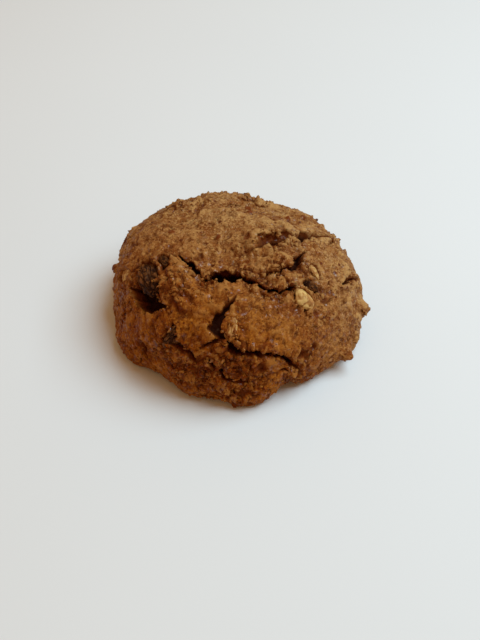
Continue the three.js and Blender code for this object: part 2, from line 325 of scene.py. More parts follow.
def cells(points, size, seed=0):
    """Cell noise: distances, in cells, to the nearest and the next of one random point in each
    lattice cell, and a random number from 0 to 1 that belongs to the nearest."""
    q = points / size + 17.3 * (seed + 1)
    cell = np.floor(q)
    near = np.full(len(q), 9.0)
    next_near = np.full(len(q), 9.0)
    own = np.zeros(len(q))
    for corner in product((-1, 0, 1), repeat=3):
        random = SCATTER[cell_hash(cell + corner, seed)]
        distance = np.linalg.norm(cell + corner + random[:, :3] - q, axis=1)
        closer = distance < near
        next_near = np.where(closer, near, np.minimum(next_near, distance))
        own = np.where(closer, random[:, 3], own)
        near = np.where(closer, distance, near)
    return near, next_near, own


def smooth(low, high, x):
    """Rises smoothly from 0 at low to 1 at high."""
    t = np.clip((x - low) / (high - low), 0, 1)
    return t * t * (3 - 2 * t)


def bell(distance, width):
    """1 at distance 0, falling smoothly to about a third at the given width."""
    return np.exp(-((distance / width) ** 2))


def drift_of(points, size, seed):
    """Three soft noises as one vector for each point."""
    return np.stack([soft(points, size, seed + k) for k in range(3)], -1)


def unit(v):
    return v / np.maximum(np.linalg.norm(v, axis=-1, keepdims=True), 1e-12)


def dot(a, b):
    return (a * b).sum(-1)


# ---- The dome ----

def around(values, azimuth):
    """Smooth closed curve through values spaced evenly around the circle."""
    values = np.asarray(values, float)
    count = len(values)
    place = np.mod(azimuth, 360) / 360 * count
    index = np.floor(place).astype(int)
    t = place - index
    a, b, c, d = (values[(index + k) % count] for k in (-1, 0, 1, 2))
    square = (2 * a - 5 * b + 4 * c - d) * t ** 2
    cube = (3 * b - a - 3 * c + d) * t ** 3
    return 0.5 * (2 * b + (c - a) * t + square + cube)


def dome(azimuth, down):
    """The smooth dome: radius grows as a power of the sine and height falls as a power of the
    cosine of the fall from the crown, and the wall leans in to a rounded foot."""
    fall = np.minimum(down, 1) * np.pi / 2
    z = HEIGHT * np.maximum(np.cos(fall), 0) ** PROFILE_POWER
    lean_in = around(FOOT_INSET, azimuth) * np.maximum(1 - z / INSET_REACH, 0) ** 2
    round_in = FOOT_ROUNDING_WIDTH * np.maximum(1 - z / FOOT_ROUNDING_HEIGHT, 0) ** 2
    radius = BELLY_RADIUS * around(BELLY_PLAN, azimuth) * np.sin(fall) ** PLAN_POWER - lean_in - round_in
    lift = np.sin(np.pi / 2 * z / HEIGHT)
    angle = np.radians(azimuth)
    x = radius * np.cos(angle) + CROWN_SHIFT[0] * lift
    y = radius * np.sin(angle) + CROWN_SHIFT[1] * lift
    return np.stack([x, y, z], -1)


def dome_normal(azimuth, down):
    """Outward direction of the smooth dome, from its slopes down and around."""
    level = np.clip(down, 0.02, 0.98)
    downward = dome(azimuth, level + 0.01) - dome(azimuth, level - 0.01)
    sideways = dome(azimuth + 1, level) - dome(azimuth - 1, level)
    at_crown = np.asarray(down)[..., None] < 0.02
    return unit(np.where(at_crown, (0.0, 0.0, 1.0), np.cross(downward, sideways)))


def swollen(azimuth, down):
    """The dome with its swells and hollows, each a round bell shape."""
    points = dome(azimuth, down)
    height = np.zeros(points.shape[:-1])
    for place_azimuth, place_down, radius, rise in SWELLS:
        centre = dome(np.float64(place_azimuth), np.float64(place_down))
        height += rise * bell(np.linalg.norm(points - centre, axis=-1), radius)
    return points + dome_normal(azimuth, down) * height[..., None]


def square_net(cell_count):
    """(u, v) from -1 to 1 over a square net, with the azimuth and ring of each place: the ring
    is the larger of |u| and |v|, so square rings become round ones."""
    side = np.linspace(-1, 1, cell_count + 1)
    u, v = (w.ravel() for w in np.meshgrid(side, side))
    ring = np.maximum(abs(u), abs(v))
    wide = abs(u) >= abs(v)
    safe_u = np.where(u == 0, 1, u)
    safe_v = np.where(v == 0, 1, v)
    beside = 45 * v / safe_u + np.where(u > 0, 0, 180)
    before = 90 - 45 * u / safe_v + np.where(v > 0, 0, 180)
    return u, v, np.where(wide, beside, before), ring


def even_down(ring):
    """Down for each ring so that rings are spaced evenly along the profile at RING_PROFILE."""
    down = np.linspace(0, 1, 2000)
    profile = dome(np.full_like(down, RING_PROFILE), down)
    steps = np.linalg.norm(np.diff(profile, axis=0), axis=1)
    length = np.concatenate([[0], np.cumsum(steps)])
    return np.interp(ring * length[-1], length, down)


def net_faces(cell_count, first=0):
    """Quads of a square net, as rows of four vertex numbers."""
    side = cell_count + 1
    j, i = (w.ravel() for w in np.meshgrid(np.arange(cell_count), np.arange(cell_count), indexing="ij"))
    a = first + j * side + i
    return np.stack([a, a + 1, a + 1 + side, a + side], -1)


def rim_numbers(cell_count):
    """Vertex numbers around the edge of a square net, once around."""
    side = cell_count + 1
    k = np.arange(cell_count)
    last = cell_count * side
    return np.concatenate([k, k * side + cell_count, last + cell_count - k, last - k * side])


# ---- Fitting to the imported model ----

def frame_shift():
    """What moves the dome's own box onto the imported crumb's box, in the plane of the table."""
    low, high = (np.array(c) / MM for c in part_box(CRUMB_NODE))
    _, _, azimuth, ring = square_net(BOX_CELLS)
    points = swollen(azimuth, even_down(ring))
    middle = (points.max(0) + points.min(0)) / 2
    shift = (low + high) / 2 - middle
    shift[2] = 0
    return shift


SHIFT = frame_shift()


def piece_frame(name):
    """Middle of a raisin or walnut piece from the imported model, its three axes and half sizes."""
    azimuth, down, size, twist = PIECES[name]
    low, high = (np.array(c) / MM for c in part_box(name))
    out = dome_normal(np.float64(azimuth), np.float64(down))
    level = unit(np.cross((0, 0, 1), out))
    upward = np.cross(out, level)
    turn = np.radians(twist)
    along = level * np.cos(turn) + upward * np.sin(turn)
    across = upward * np.cos(turn) - level * np.sin(turn)
    return (low + high) / 2, np.stack([along, across, out]), np.array(size) / 2


# ---- The crumb ----

def trace(line, count=240):
    """A smooth curve through places on the skin: points, directions and half widths."""
    line = np.asarray(line, float)
    t = np.linspace(0, len(line) - 1, count)
    index = np.minimum(t.astype(int), len(line) - 2)
    s = (t - index)[:, None]
    before = line[np.maximum(index - 1, 0)]
    a, b = line[index], line[index + 1]
    after = line[np.minimum(index + 2, len(line) - 1)]
    square = (2 * before - 5 * a + 4 * b - after) * s ** 2
    cube = (3 * a - before - 3 * b + after) * s ** 3
    place = 0.5 * (2 * a + (b - before) * s + square + cube)
    points = swollen(place[:, 0], place[:, 1])
    out = dome_normal(place[:, 0], place[:, 1])
    along = unit(np.gradient(points, axis=0))
    across = unit(np.cross(along, out))
    return points, along, across, out, np.maximum(place[:, 2], 0.05)


def wall_profile(x):
    """Cross-section of a crack for x, the distance from its middle in half widths: the new
    distance and the share of the depth. The net within reach is drawn into the walls, and the
    net from there to calm is spread out."""
    reach, calm = 1.8, 3.6
    q = np.clip(x / reach, 0, 1)
    bottom = 0.4
    wall = np.clip((q - bottom) / (1 - bottom), 0, 1)
    undercut = 0.22 * np.sin(np.pi * wall)
    inside = np.where(q < bottom, q / bottom * 0.55, 0.55 + 0.45 * wall) + undercut * (q >= bottom)
    outside = 1 + (x - reach) / (calm - reach) * (calm - 1)
    moved = np.where(x < reach, inside, np.where(x < calm, outside, x))
    depth = 1 - smooth(0, 1, wall) ** 0.8
    return moved, depth


class Skin:
    """The crumb's skin while it is shaped: places, points, and masks for the material."""

    def __init__(self):
        self.u, self.v, self.azimuth, self.ring = square_net(SKIN_CELLS)
        self.down = even_down(self.ring)
        self.base = swollen(self.azimuth, self.down)
        self.out = dome_normal(self.azimuth, self.down)
        self.points = self.base.copy()
        self.shift = np.zeros_like(self.base)
        self.crack, self.near_crack, self.depth, self.lip = (np.zeros(len(self.base)) for _ in range(4))

    def beside(self, line, reach):
        """Numbers of the places within reach of a line, and for each place its point, how far it
        lies to the line's side and past its ends, and the line's directions and width there."""
        centre, along, across, out, width = trace(line)
        low, high = centre.min(0) - reach, centre.max(0) + reach
        band = np.flatnonzero(((self.base > low) & (self.base < high)).all(1))
        points = self.base[band]
        gap = np.linalg.norm(points[:, None] - centre[None, ::3], axis=2)
        nearest = gap.argmin(1) * 3
        away = points - centre[nearest]
        beyond = np.maximum(abs(dot(away, along[nearest])) - 0.4, 0)
        side = dot(away, across[nearest])
        return band, points, side, beyond, across[nearest], out[nearest], width[nearest]

    def mark(self, where, crack, near_crack):
        """Raises both crack masks to at least these values."""
        # The crack mask sets painted shade in the material; near_crack roughens the crust around it
        self.crack[where] = np.maximum(self.crack[where], crack)
        self.near_crack[where] = np.maximum(self.near_crack[where], near_crack)

    def cut(self, line, depth, lean, lip, seed):
        """Opens a crack along a line: ragged walls, an undercut and a raised lip on both sides."""
        band, points, side, beyond, across, out, width = self.beside(line, CRACK_REACH)
        rag = 1.3 * soft(points, 3.2, seed) + 1.1 * soft(points, 1.5, seed + 9)
        half = width * (1 + 0.6 * soft(points, 3.0, seed + 4))
        rag *= np.minimum(half / 0.8, 1.2)
        x = np.hypot(side + rag, beyond) / np.maximum(half, 0.12)
        moved, share = wall_profile(x)
        step = (moved - x) * half * np.sign(side + rag)
        strength = np.minimum(half / 0.45, 1) * (beyond < 1.5)
        self.shift[band] += across * (step * strength)[:, None]
        down_share = share * strength * depth * np.minimum(0.35 + half / 1.2, 1)
        deeper = down_share > self.depth[band]
        backward = np.array((0, lean, 0)) * (down_share / depth)[:, None]
        vector = -out * down_share[:, None] + backward
        self.points[band] = np.where(deeper[:, None], points + vector, self.points[band])
        self.depth[band] = np.maximum(self.depth[band], down_share)
        edge = lip * bell(x - 2.6, 1.6) * strength * (x > 1.6)
        self.points[band] += self.out[band] * edge[:, None]
        self.lip[band] = np.maximum(self.lip[band], edge)
        close = strength * bell(np.hypot(side, beyond), 3.2)
        # Marks the crack for painted shade, darker the deeper it is
        self.mark(band, share * strength * min(depth / 3, 1), close)

    def press_pit(self, azimuth, down, radius, depth, seed):
        """A round pit with steep ragged walls, or a dark flake of bran where the depth is below 0."""
        centre = swollen(np.float64(azimuth), np.float64(down))
        away = self.base - centre
        distance = np.linalg.norm(away, axis=1) + 0.5 * radius * soft(self.base, 1.6, seed)
        share = 1 - smooth(0.45 * radius, 1.25 * radius, distance)
        self.points -= self.out * (share * depth)[:, None]
        # Pits are marked for painted shade, deeper ones darker; raised flakes are marked to take the dark
        # colour of bran
        dark = min(0.5 * depth, 0.7) if depth > 0 else 0.45
        self.mark(slice(None), dark * share, bell(distance / radius, 1.5))

    def press_pocket(self, name, seed):
        """Dough over a baked-in piece: a thin film that follows the piece's oval, torn open
        where the ragged oval of the opening is, with the skin turned up around the tear."""
        opening, rag, film = POCKETS[name]
        middle, axes, half = piece_frame(name)
        local = (self.base - (middle - SHIFT)) @ axes.T
        near = (np.linalg.norm(local, axis=1) < 3 * half.max()) & (dot(self.out, axes[2]) > 0.2)
        flat = np.linalg.norm(local[:, :2] / half[:2], axis=1)
        top = half[2] * np.sqrt(np.maximum(1 - flat ** 2, 0))
        bulge = np.maximum(top - local[:, 2] + film, 0) * (1 - smooth(0.85, 1.05, flat)) * near
        x = flat / opening + rag * (1.3 * soft(self.base, 2.8, seed) + 0.9 * soft(self.base, 1.3, seed + 3))
        share = (1 - smooth(0.9, 1.1, x)) * near
        reach = np.maximum(local[:, 2] + 0.5 * half[2], 0)
        self.points += self.out * (bulge * (1 - share) * (film > 0) - share * reach)[:, None]
        rim = 0.3 * bell(x - 1.25, 0.2) * near
        self.points += self.out * rim[:, None]
        # Painted shade in the opening around the piece, through the crack mask
        self.mark(slice(None), share * 0.9, 0.7 * bell(x - 1.1, 0.5) * near)

    def step(self, line, height, fall, seed):
        """A scarp: the skin to the left of a line stands up at the line and falls back to its
        own level away from it, and hangs a little over the lower side."""
        band, points, side, beyond, across, out, strength = self.beside(line, 3 * fall)
        side = -side + 0.9 * soft(points, 3.2, seed) + 0.6 * soft(points, 1.4, seed + 5)
        ends = bell(beyond, 2.5) * np.minimum(strength, 1)
        rise = height * smooth(-0.3, 0.35, side) * bell(np.maximum(side, 0), fall) * ends
        hang = 0.5 * height * bell(side, 0.8) * ends
        self.points[band] += out * rise[:, None] + across * hang[:, None]
        # Painted shadow under the overhang at the foot of the scarp, through the crack mask
        self.mark(band, 0.3 * (bell(side + 0.5, 0.7) * ends), 0.8 * bell(side, 2.2) * ends)


def billow(points, size, seed, layers):
    """Round lumps that meet in creases: the absolute value of soft noise, in several layers, each
    half the size of the one before. From about -0.3 in the creases to 0.5 on the lumps."""
    total = np.zeros(len(points))
    share = 1.0
    for layer in range(layers):
        total += share * (2.0 * abs(soft(points, size, seed + layer)) - 0.35)
        size, share = size * 0.52, share * 0.56
    return total


def shape_skin():
    """The whole skin: dome, cracks, pits, pockets, then the torn and crusty relief over it."""
    skin = Skin()
    for seed, crack in enumerate(CRACKS.values()):
        skin.cut(**crack, seed=seed)
    skin.points += skin.shift
    for seed, (line, height, fall) in enumerate(SCARPS.values()):
        skin.step(line, height, fall, seed + SCARP_SEEDS)
    for seed, pit in enumerate(PITS):
        skin.press_pit(*pit, seed + PIT_SEEDS)
    for seed, name in enumerate(PIECES):
        skin.press_pocket(name, seed + POCKET_SEEDS)
    p = skin.base
    calm = 1 - 0.7 * np.clip(skin.crack, 0, 1)
    patch = 0.5 * soft(p, 10, 1) + 0.5 * soft(p, 4.5, 2) + 0.45 * soft(p, 2.0, 17)
    for azimuth, down, radius, strength in TORN_PATCHES:
        away = np.linalg.norm(p - swollen(np.float64(azimuth), np.float64(down)), axis=1)
        patch += strength * bell(away, radius)
    skin.torn = smooth(0.15, 0.75, patch + 0.35 * skin.near_crack)
    drift = drift_of(p, 4, 11)
    warp = p + 2.2 * drift
    swell = 1.7 * soft(warp, 9, 3)
    torn = skin.torn
    lumps = (0.5 + 0.95 * torn) * billow(warp, 4.6, 4, 2)
    clods = (0.2 + 0.75 * torn) * billow(warp + drift, 2.1, 24, 2)
    ridges = np.clip(1 - 5 * abs(soft(warp, 3.4, 14)), 0, 1) * 0.22
    crease_lines = np.clip(1 - 9 * abs(soft(warp + drift, 5.0, 15)), 0, 1)
    creases = -0.55 * crease_lines * smooth(0.0, 0.25, soft(p, 6, 16))
    pore_near, _, pore = cells(warp, 1.7, 8)
    pores = -0.7 * smooth(0.62, 0.72, pore) * (1 - smooth(0.10, 0.42, pore_near))
    fine = (0.5 + 0.5 * torn) * (0.3 * soft(p, 1.2, 9) + 0.2 * soft(p, 0.8, 10))
    relief = lumps + clods + ridges + creases + pores + fine
    # Crack lips raise the relief mask, so the material paints them lighter as painted highlight, as on ridges
    skin.relief = relief + 0.25 * skin.lip
    foot_calm = 1 - 0.5 * smooth(0.97, 1.0, skin.down)
    height = (swell + relief - 0.1) * calm * foot_calm
    skin.points += skin.out * height[:, None]
    skin.points += drift_of(p, 2.4, 21) * ((0.25 + 0.75 * torn) * calm * foot_calm)[:, None]
    skin.points[:, 2] = np.maximum(skin.points[:, 2], 0.0)
    skin.points[skin.ring >= RIM, 2] = 0.0
    skin.points += SHIFT
    return skin


def relax(points, faces, share, rounds=2):
    """Moves each vertex by its share of the way to the mean of its neighbours, in each round."""
    edges = np.concatenate([faces[:, [k, (k + 1) % 4]] for k in range(4)])
    count = np.bincount(edges.ravel(), minlength=len(points))[:, None]
    for _ in range(rounds):
        total = np.zeros_like(points)
        for axis in range(3):
            total[:, axis] += np.bincount(edges[:, 0], points[edges[:, 1], axis], len(points))
            total[:, axis] += np.bincount(edges[:, 1], points[edges[:, 0], axis], len(points))
        points = points + (total / count - points) * share[:, None]
    return points


def crumb_mesh():
    """The closed crumb: the skin's net, a coarser net below, and a band that joins them."""
    skin = shape_skin()
    faces = net_faces(SKIN_CELLS)
    free = 0.35 * np.clip(skin.crack, 0, 1) * (skin.ring < RIM)
    points = relax(skin.points, faces, free)
    rim = rim_numbers(SKIN_CELLS)
    u, v, azimuth, ring = square_net(BASE_CELLS)
    base_rim = rim_numbers(BASE_CELLS)
    edge = points[rim]
    order = np.linspace(0, len(rim), len(rim) + 1)
    closed = np.concatenate([edge, edge[:1]])
    rim_azimuth = np.unwrap(np.radians(skin.azimuth[rim]))
    turn = (azimuth - np.degrees(rim_azimuth[0])) % 360
    walk = turn / 360 * len(rim)
    target = np.stack([np.interp(walk, order, closed[:, k]) for k in range(3)], -1)
    middle = edge.mean(0)
    under = middle + (target - middle) * (ring * BASE_SHARE)[:, None]
    dents = np.clip(0.5 * soft(under, 5, 31) + 0.6 * soft(under, 1.6, 32) - 0.12, 0, 0.5)
    under[:, 2] = dents * (ring < 0.999)
    first = len(points)
    below = net_faces(BASE_CELLS, first)[:, ::-1]
    outer = rim.reshape(-1, 3)
    outer_next = np.roll(rim, -3).reshape(-1, 3)[:, 0]
    inner = first + base_rim
    inner_next = first + np.roll(base_rim, -1)
    band = np.concatenate([np.stack(triangle, -1) for triangle in (
        (outer[:, 0], inner, outer[:, 1]),
        (outer[:, 1], inner, outer[:, 2]),
        (outer[:, 2], inner, inner_next),
        (outer[:, 2], inner_next, outer_next),
    )])
    all_points = np.concatenate([points, under])
    masks = {
        "crack": np.concatenate([skin.crack, np.zeros(len(under))]),
        "torn": np.concatenate([skin.torn, np.full(len(under), 0.4)]),
        "relief": np.concatenate([skin.relief, -0.3 * dents]),
        "base": np.concatenate([smooth(0.985, 1.0, skin.ring), np.ones(len(under))]),
    }
    return all_points, faces, below, band, masks, (skin.u, skin.v, u, v)


# ---- Making objects ----

def new_object(name, points, face_lists, smooth_faces=True):
    """A mesh object at the origin from points in millimetres and arrays of faces."""
    mesh = bpy.data.meshes.new(name)
    corners = np.concatenate([f.ravel() for f in face_lists])
    sizes = np.concatenate([np.full(len(f), f.shape[1]) for f in face_lists])
    mesh.vertices.add(len(points))
    mesh.vertices.foreach_set("co", (points * MM).astype(np.float32).ravel())
    mesh.loops.add(len(corners))
    mesh.loops.foreach_set("vertex_index", corners.astype(np.int32))
    mesh.polygons.add(len(sizes))
    mesh.polygons.foreach_set("loop_start", (np.cumsum(sizes) - sizes).astype(np.int32))
    mesh.polygons.foreach_set("use_smooth", np.full(len(sizes), smooth_faces))
    mesh.update(calc_edges=True)
    if mesh.validate():
        raise RuntimeError(f"the mesh of {name} had bad faces")
    obj = bpy.data.objects.new(name, mesh)
    bpy.context.scene.collection.objects.link(obj)
    return obj


def add_mask(obj, name, values):
    attribute = obj.data.attributes.new(name, "FLOAT", "POINT")
    attribute.data.foreach_set("value", np.asarray(values, np.float32))


def add_uv(obj, uv_of_corner):
    layer = obj.data.uv_layers.new(name="OFBake")
    layer.data.foreach_set("uv", np.asarray(uv_of_corner, np.float32).ravel())


# ---- Shader building ----

class Tree:
    """Adds nodes to a node tree and links them in one call."""

    def __init__(self, tree):
        self.tree = tree

    def node(self, kind, inputs=None, **settings):
        made = self.tree.nodes.new(kind)
        for key, value in settings.items():
            setattr(made, key, value)
        for key, value in (inputs or {}).items():
            if isinstance(value, bpy.types.NodeSocket):
                self.tree.links.new(value, made.inputs[key])
            else:
                made.inputs[key].default_value = value
        return made

    def noise(self, place, size, detail=3.0, rough=0.55, distort=0.0):
        """Cloud noise with features of the given size in millimetres."""
        return self.node(
            "ShaderNodeTexNoise",
            {"Vector": place, "Scale": 1 / size, "Detail": detail, "Roughness": rough, "Distortion": distort},
        ).outputs["Fac"]

    def ramp(self, value, low, high, start=0.0, end=1.0):
        """Straightens value from low..high to start..end, with soft ends."""
        return self.node(
            "ShaderNodeMapRange",
            {"Value": value, "From Min": low, "From Max": high, "To Min": start, "To Max": end},
            interpolation_type="SMOOTHSTEP",
        ).outputs["Result"]

    def maths(self, operation, a, b=0.0):
        return self.node("ShaderNodeMath", {0: a, 1: b}, operation=operation).outputs[0]

    def mix(self, share, a, b, blend="MIX"):
        made = self.node("ShaderNodeMix", {"Factor": share}, data_type="RGBA", blend_type=blend)
        for key, value in (("A", a), ("B", b)):
            socket = next(s for s in made.inputs if s.name == key and s.type == "RGBA")
            if isinstance(value, bpy.types.NodeSocket):
                self.tree.links.new(value, socket)
            else:
                socket.default_value = (*value[:3], 1)
        return next(s for s in made.outputs if s.type == "RGBA")

    def times(self, a, b):
        return self.maths("MULTIPLY", a, b)

    def voronoi(self, place, scale, **settings):
        return self.node("ShaderNodeTexVoronoi", {"Vector": place, "Scale": scale}, **settings)

    def paint(self, colour, *coats):
        """Lays coats, each a share and a colour, over a colour in turn."""
        for share, coat in coats:
            colour = self.mix(share, colour, coat)
        return colour

    def mask(self, name):
        return self.node("ShaderNodeAttribute", attribute_name=name, attribute_type="GEOMETRY").outputs["Fac"]

    def millimetres(self):
        """Object coordinates in millimetres."""
        place = self.node("ShaderNodeTexCoord").outputs["Object"]
        return self.node("ShaderNodeVectorMath", {0: place, 3: 1 / MM}, operation="SCALE").outputs[0]


def group(name, inputs, outputs, build):
    """A shader node group with named inputs and outputs, built once."""
    tree = bpy.data.node_groups.get(name)
    if tree:
        return tree
    tree = bpy.data.node_groups.new(name, "ShaderNodeTree")
    for label, kind, default in inputs:
        socket = tree.interface.new_socket(label, in_out="INPUT", socket_type=kind)
        if default is not None:
            socket.default_value = default
    for label, kind in outputs:
        tree.interface.new_socket(label, in_out="OUTPUT", socket_type=kind)
    t = Tree(tree)
    entry = t.node("NodeGroupInput")
    leave = t.node("NodeGroupOutput")
    for label, socket in build(t, entry.outputs).items():
        tree.links.new(socket, leave.inputs[label])
    return tree


def mottle_group():
    """Colour that drifts between two neighbours of a base colour in broad and fine patches."""
    def build(t, given):
        broad = t.noise(t.millimetres(), 6.0, 3, 0.6)
        fine = t.noise(t.millimetres(), 0.9, 2, 0.6)
        both = t.maths("ADD", t.times(broad, 0.6), t.times(fine, 0.4))
        share = t.times(t.ramp(both, 0.36, 0.64), given["Amount"])
        darker = t.mix(given["Amount"], given["Base"], given["Dark"])
        return {"Colour": t.mix(share, darker, given["Light"])}
    return group(
        "mottle",
        [("Base", "NodeSocketColor", None), ("Light", "NodeSocketColor", None),
         ("Dark", "NodeSocketColor", None), ("Amount", "NodeSocketFloat", 0.8)],
        [("Colour", "NodeSocketColor")],
        build,
    )


def shaded_side_group():
    """How much painted shade the side away from the window gets, from 0 to 1."""
    def build(t, given):
        facing = t.node("ShaderNodeVectorMath", {0: t.millimetres(), 1: SHADED_SIDE}, operation="DOT_PRODUCT")
        return {"Share": t.ramp(facing.outputs["Value"], *SHADE_REACH)}
    return group("shaded_side_share", [], [("Share", "NodeSocketFloat")], build)


def grain_group():
    """Fine bumps: clods, grains and pinholes in one height."""
    def build(t, given):
        place = t.millimetres()
        warp = t.node("ShaderNodeTexNoise", {"Vector": place, "Scale": 0.7, "Detail": 2.0})
        bent = t.node("ShaderNodeVectorMath", {0: warp.outputs["Color"], 1: place}, operation="ADD")
        bent = bent.outputs[0]
        clods = t.voronoi(bent, 0.75, feature="SMOOTH_F1").outputs["Distance"]
        pins = t.voronoi(bent, 1.1).outputs["Distance"]
        clusters = t.ramp(t.noise(place, 4.0, 2, 0.5), 0.42, 0.62, 0.1, 1.0)
        holes = t.times(t.ramp(pins, 0.30, 0.08), t.times(clusters, given["Pinholes"]))
        cloud = t.times(t.noise(bent, 0.7, 4, 0.65), given["Cloud"])
        height = t.maths("SUBTRACT", cloud, t.times(clods, given["Clods"]))
        return {"Height": t.maths("SUBTRACT", height, holes)}
    return group(
        "grain",
        [("Cloud", "NodeSocketFloat", 1.0), ("Clods", "NodeSocketFloat", 0.4),
         ("Pinholes", "NodeSocketFloat", 0.2)],
        [("Height", "NodeSocketFloat")],
        build,
    )


def new_material(name):
    material = bpy.data.materials.new(name)
    material.use_nodes = True
    material.node_tree.nodes.clear()
    return material, Tree(material.node_tree)


def finish_material(t, colour, roughness, height, bump_mm, coat=0.0, **sockets):
    """Joins colour, roughness, bump height and coat to a Principled BSDF."""
    bump = t.node("ShaderNodeBump", {"Height": height, "Distance": bump_mm * MM, "Strength": 1.0})
    shader = t.node("ShaderNodeBsdfPrincipled", {
        "Base Color": colour, "Roughness": roughness, "Normal": bump.outputs[0], "Coat Weight": coat,
    })
    for key, value in sockets.items():
        shader.inputs[key.replace("_", " ")].default_value = value
    leave = t.node("ShaderNodeOutputMaterial")
    t.tree.links.new(shader.outputs[0], leave.inputs["Surface"])


def use_mottle(t, base, light, dark, amount):
    made = t.node("ShaderNodeGroup", node_tree=mottle_group())
    for key, value in (("Base", base), ("Light", light), ("Dark", dark)):
        made.inputs[key].default_value = (*value, 1)
    made.inputs["Amount"].default_value = amount
    return made.outputs["Colour"]


def use_grain(t, cloud, clods, pinholes):
    values = {"Cloud": cloud, "Clods": clods, "Pinholes": pinholes}
    return t.node("ShaderNodeGroup", values, node_tree=grain_group()).outputs["Height"]


def crumb_material(colours):
    """Baked wholemeal dough: tan crust, orange-brown torn crumb, dark cracks and bran specks."""
    material, t = new_material("baked_crumb")
    place = t.millimetres()
    torn_mask, relief, crack = t.mask("torn"), t.mask("relief"), t.mask("crack")
    grain = use_grain(t, 1.0, 0.5, 0.5)
    # Painted shade share: how far each place lies towards the side away from the window
    painted_side_shade = t.node("ShaderNodeGroup", node_tree=shaded_side_group()).outputs["Share"]
    crust = use_mottle(t, colours.crust, colours.crust_light, colours.crust_dark, 0.8)
    torn = use_mottle(t, colours.torn, colours.torn_light, colours.torn_dark, 0.8)
    patches = t.ramp(t.noise(place, 3.0, 4, 0.6), 0.3, 0.6, 0.45, 1.0)
    pale = t.ramp(t.noise(place, 4.5, 3, 0.6), 0.54, 0.68, 0.0, 0.25)
    ruddy = t.ramp(t.noise(place, 3.4, 5, 0.72), 0.53, 0.63, 0.0, 0.7)
    bran = t.voronoi(place, 0.55)
    bran_size = t.node("ShaderNodeSeparateColor", {0: bran.outputs["Color"]}).outputs[0]
    bran_edge = t.maths("ADD", bran.outputs["Distance"], t.times(t.noise(place, 0.5, 2, 0.6), 0.5))
    bran_share = t.ramp(t.maths("SUBTRACT", bran_edge, t.times(bran_size, 0.34)), 0.26, 0.16)
    sugar_and_glints = t.ramp(t.voronoi(place, 1.15).outputs["Distance"], 0.24, 0.1)
    sugar_and_glint_patches = t.ramp(t.noise(place, 3.6, 2, 0.6), 0.48, 0.6, 0.0, 0.55)
    speckle = t.noise(place, 0.5, 2, 0.7)
    colour = t.paint(
        crust,
        (t.times(torn_mask, patches), torn),
        (t.times(pale, t.maths("SUBTRACT", 1.0, torn_mask)), colours.film),
        (ruddy, colours.ruddy),
        (t.times(bran_share, 0.9), colours.bran),
        # Pale flecks, at points and at random: sugar grains and painted glints
        (t.times(sugar_and_glints, sugar_and_glint_patches), colours.sugar_and_glints),
        (t.ramp(speckle, 0.46, 0.34, 0.0, 0.5), colours.hollow),
        (t.ramp(speckle, 0.56, 0.68, 0.0, 0.45), colours.sugar_and_glints),
    )
    # Painted shade: the side away from the window is multiplied darker and more orange
    colour = t.mix(painted_side_shade, colour, colours.painted_side_shade, "MULTIPLY")
    # Painted shade and highlight from the relief: low relief, gaps in the fine grain and thin noise lines
    # take the shade colour; high relief, crack lips and grain tops take a lighter crust colour as painted
    # highlight
    edges = t.maths("ABSOLUTE", t.maths("SUBTRACT", t.noise(place, 3.2, 4, 0.62, 0.6), 0.5))
    hollows = t.times(t.ramp(relief, 0.02, -0.38, 0.0, 0.85), t.ramp(torn_mask, 0.1, 0.6, 0.62, 1.0))
    high = t.mix(painted_side_shade, colours.crust_light, colours.torn_light)
    colour = t.paint(
        colour,
        (t.ramp(edges, 0.022, 0.0, 0.0, 0.7), colours.hollow),
        (hollows, colours.hollow),
        (t.ramp(relief, 0.12, 0.42, 0.0, 0.65), high),
        (t.ramp(grain, 0.2, 0.0, 0.0, 0.6), colours.hollow),
        (t.ramp(grain, 0.34, 0.5, 0.0, 0.7), high),
        # Painted shade: crack walls, pits, pocket openings and the foot of each scarp, as marked in the crack
        # mask, go dark, and near black deep in a crack
        (t.times(t.ramp(crack, 0.05, 0.35), 0.85), colours.torn_dark),
        (t.times(t.ramp(crack, 0.4, 0.95), 0.93), colours.crack),
        (t.times(t.mask("base"), 0.8), colours.base),
    )
    rough = t.ramp(t.noise(place, 0.9, 3, 0.6), 0.36, 0.58, 0.45, 0.85)
    syrup = t.ramp(t.noise(place, 1.4, 5, 0.7), 0.53, 0.63, 0.0, 0.7)
    finish_material(
        t, colour, rough, grain, 0.6, syrup,
        Specular_IOR_Level=0.1, Specular_Tint=(1.0, 0.8, 0.6, 1.0), Coat_Roughness=0.25,
    )
    return material


def raisin_material(colours):
    """Wrinkled dark skin with a dull shine and patches of paler sugary bloom."""
    material, t = new_material("raisin_skin")
    place = t.millimetres()
    skin = use_mottle(t, colours.raisin, colours.raisin_light, colours.raisin_dark_and_fold_shade, 0.9)
    bloom = t.ramp(t.noise(place, 2.4, 4, 0.65), 0.52, 0.66, 0.0, 0.6)
    # Painted shade in the raisin's folds, from the relief
    folds = t.ramp(t.mask("relief"), 0.0, -0.5, 0.0, 0.8)
    colour = t.paint(skin, (bloom, colours.raisin_bloom), (folds, colours.raisin_dark_and_fold_shade))
    rough = t.ramp(t.noise(place, 0.8, 3, 0.6), 0.35, 0.65, 0.4, 0.7)
    grain = use_grain(t, 0.8, 0.3, 0.1)
    finish_material(
        t, colour, rough, grain, 0.16,
        Specular_IOR_Level=0.16, Specular_Tint=(1.0, 0.7, 0.5, 1.0),
    )
    return material


